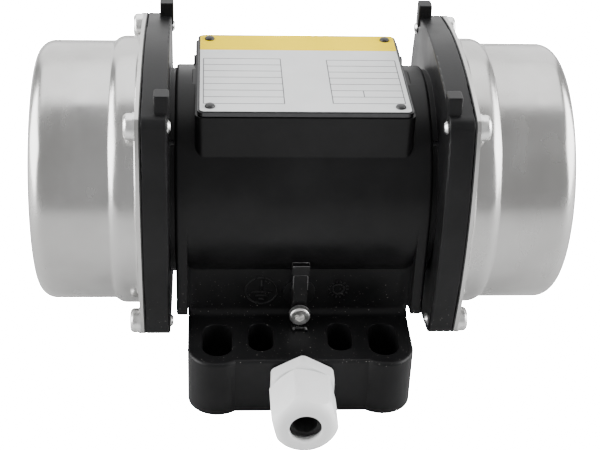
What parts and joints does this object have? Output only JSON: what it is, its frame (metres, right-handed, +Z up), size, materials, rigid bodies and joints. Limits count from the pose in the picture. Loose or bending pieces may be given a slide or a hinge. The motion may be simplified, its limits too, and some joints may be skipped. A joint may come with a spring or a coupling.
{
  "type": "vibration motor",
  "caption": "External vibration motor: cast barrel on a slotted foot, bolted end shields, steel cups over eccentric weights, flat terminal cover and front cable gland.",
  "frame": {"origin": "centre of the foot's mounting face, under the middle of the shaft", "axes": "+X along the shaft to the right end, +Y to the rear, away from the cable gland, +Z up from the mounting face; the shaft's axis is at Z = 74 mm"},
  "size_m": [0.211, 0.1644, 0.1311],
  "materials": {
    "black_coat": "satin",
    "stainless": "satin",
    "zinc_steel": "satin",
    "black_screw": "satin",
    "cover_metal": "satin",
    "plate_print": "satin",
    "seal_rubber": "matte",
    "grey_polyamide": "satin",
    "moulding": "satin",
    "terminal_brass": "satin",
    "core_steel": "satin",
    "coil_copper": "gloss",
    "end_ring_metal": "satin",
    "shaft_steel": "satin",
    "weight_steel": "satin"
  },
  "bodies": {
    "motor": {"cover_gasket": "seal_rubber", "cover_screws": "black_screw", "earth_clamp": "zinc_steel", "earth_screw": "zinc_steel", "earth_washer": "zinc_steel", "gland_body": "grey_polyamide", "gland_dome_nut": "grey_polyamide", "gland_gasket": "seal_rubber", "gland_seal": "seal_rubber", "housing": "black_coat", "left_bearing_clip": "shaft_steel", "left_bearing_outer_ring": "shaft_steel", "left_cap": "stainless", "left_cap_gasket": "seal_rubber", "left_cap_screws": "zinc_steel", "left_cap_washers": "zinc_steel", "left_end_shield": "black_coat", "left_shield_screws": "zinc_steel", "nameplate": "plate_print", "right_bearing_clip": "shaft_steel", "right_bearing_outer_ring": "shaft_steel", "right_cap": "stainless", "right_cap_gasket": "seal_rubber", "right_cap_screws": "zinc_steel", "right_cap_washers": "zinc_steel", "right_end_shield": "black_coat", "right_shield_screws": "zinc_steel", "stator_core": "core_steel", "stator_windings": "coil_copper", "terminal_block": "moulding", "terminal_cover": "cover_metal", "terminal_screws": "terminal_brass"},
    "rotor": {"shaft": "shaft_steel", "rotor_core": "core_steel", "rotor_end_rings": "end_ring_metal", "left_bearing_inner_ring": "shaft_steel", "left_spacer": "shaft_steel", "left_fixed_weight": "weight_steel", "left_weight_key": "shaft_steel", "left_weight_washers": "shaft_steel", "left_shaft_clip": "shaft_steel", "right_bearing_inner_ring": "shaft_steel", "right_spacer": "shaft_steel", "right_fixed_weight": "weight_steel", "right_weight_key": "shaft_steel", "right_weight_washers": "shaft_steel", "right_shaft_clip": "shaft_steel"},
    "left_ball_set": {"left_bearing_cage": "shaft_steel", "left_bearing_balls": "shaft_steel"},
    "left_loose_weight": {"left_adjustable_weight": "weight_steel", "left_clamp_screw": "shaft_steel"},
    "right_ball_set": {"right_bearing_cage": "shaft_steel", "right_bearing_balls": "shaft_steel"},
    "right_loose_weight": {"right_adjustable_weight": "weight_steel", "right_clamp_screw": "shaft_steel"}
  },
  "joints": [
    {"name": "rotor_spin", "type": "hinge", "parent": "motor", "child": "rotor", "pos_m": [0, 0, 0.074], "axis": [1, 0, 0], "continuous": true},
    {"name": "left_balls_roll", "type": "hinge", "parent": "motor", "child": "left_ball_set", "pos_m": [-0.0535, 0, 0.074], "axis": [1, 0, 0], "continuous": true},
    {"name": "right_balls_roll", "type": "hinge", "parent": "motor", "child": "right_ball_set", "pos_m": [0.0535, 0, 0.074], "axis": [1, 0, 0], "continuous": true},
    {"name": "left_weight_setting", "type": "hinge", "parent": "rotor", "child": "left_loose_weight", "pos_m": [-0.0872, 0, 0.074], "axis": [1, 0, 0], "range_deg": [0, 180]},
    {"name": "right_weight_setting", "type": "hinge", "parent": "rotor", "child": "right_loose_weight", "pos_m": [0.0872, 0, 0.074], "axis": [1, 0, 0], "range_deg": [0, 180]}
  ],
  "couplings": [
    {"joint": "left_balls_roll", "follows": "rotor_spin", "ratio": 0.38158},
    {"joint": "right_balls_roll", "follows": "rotor_spin", "ratio": 0.38158}
  ]
}
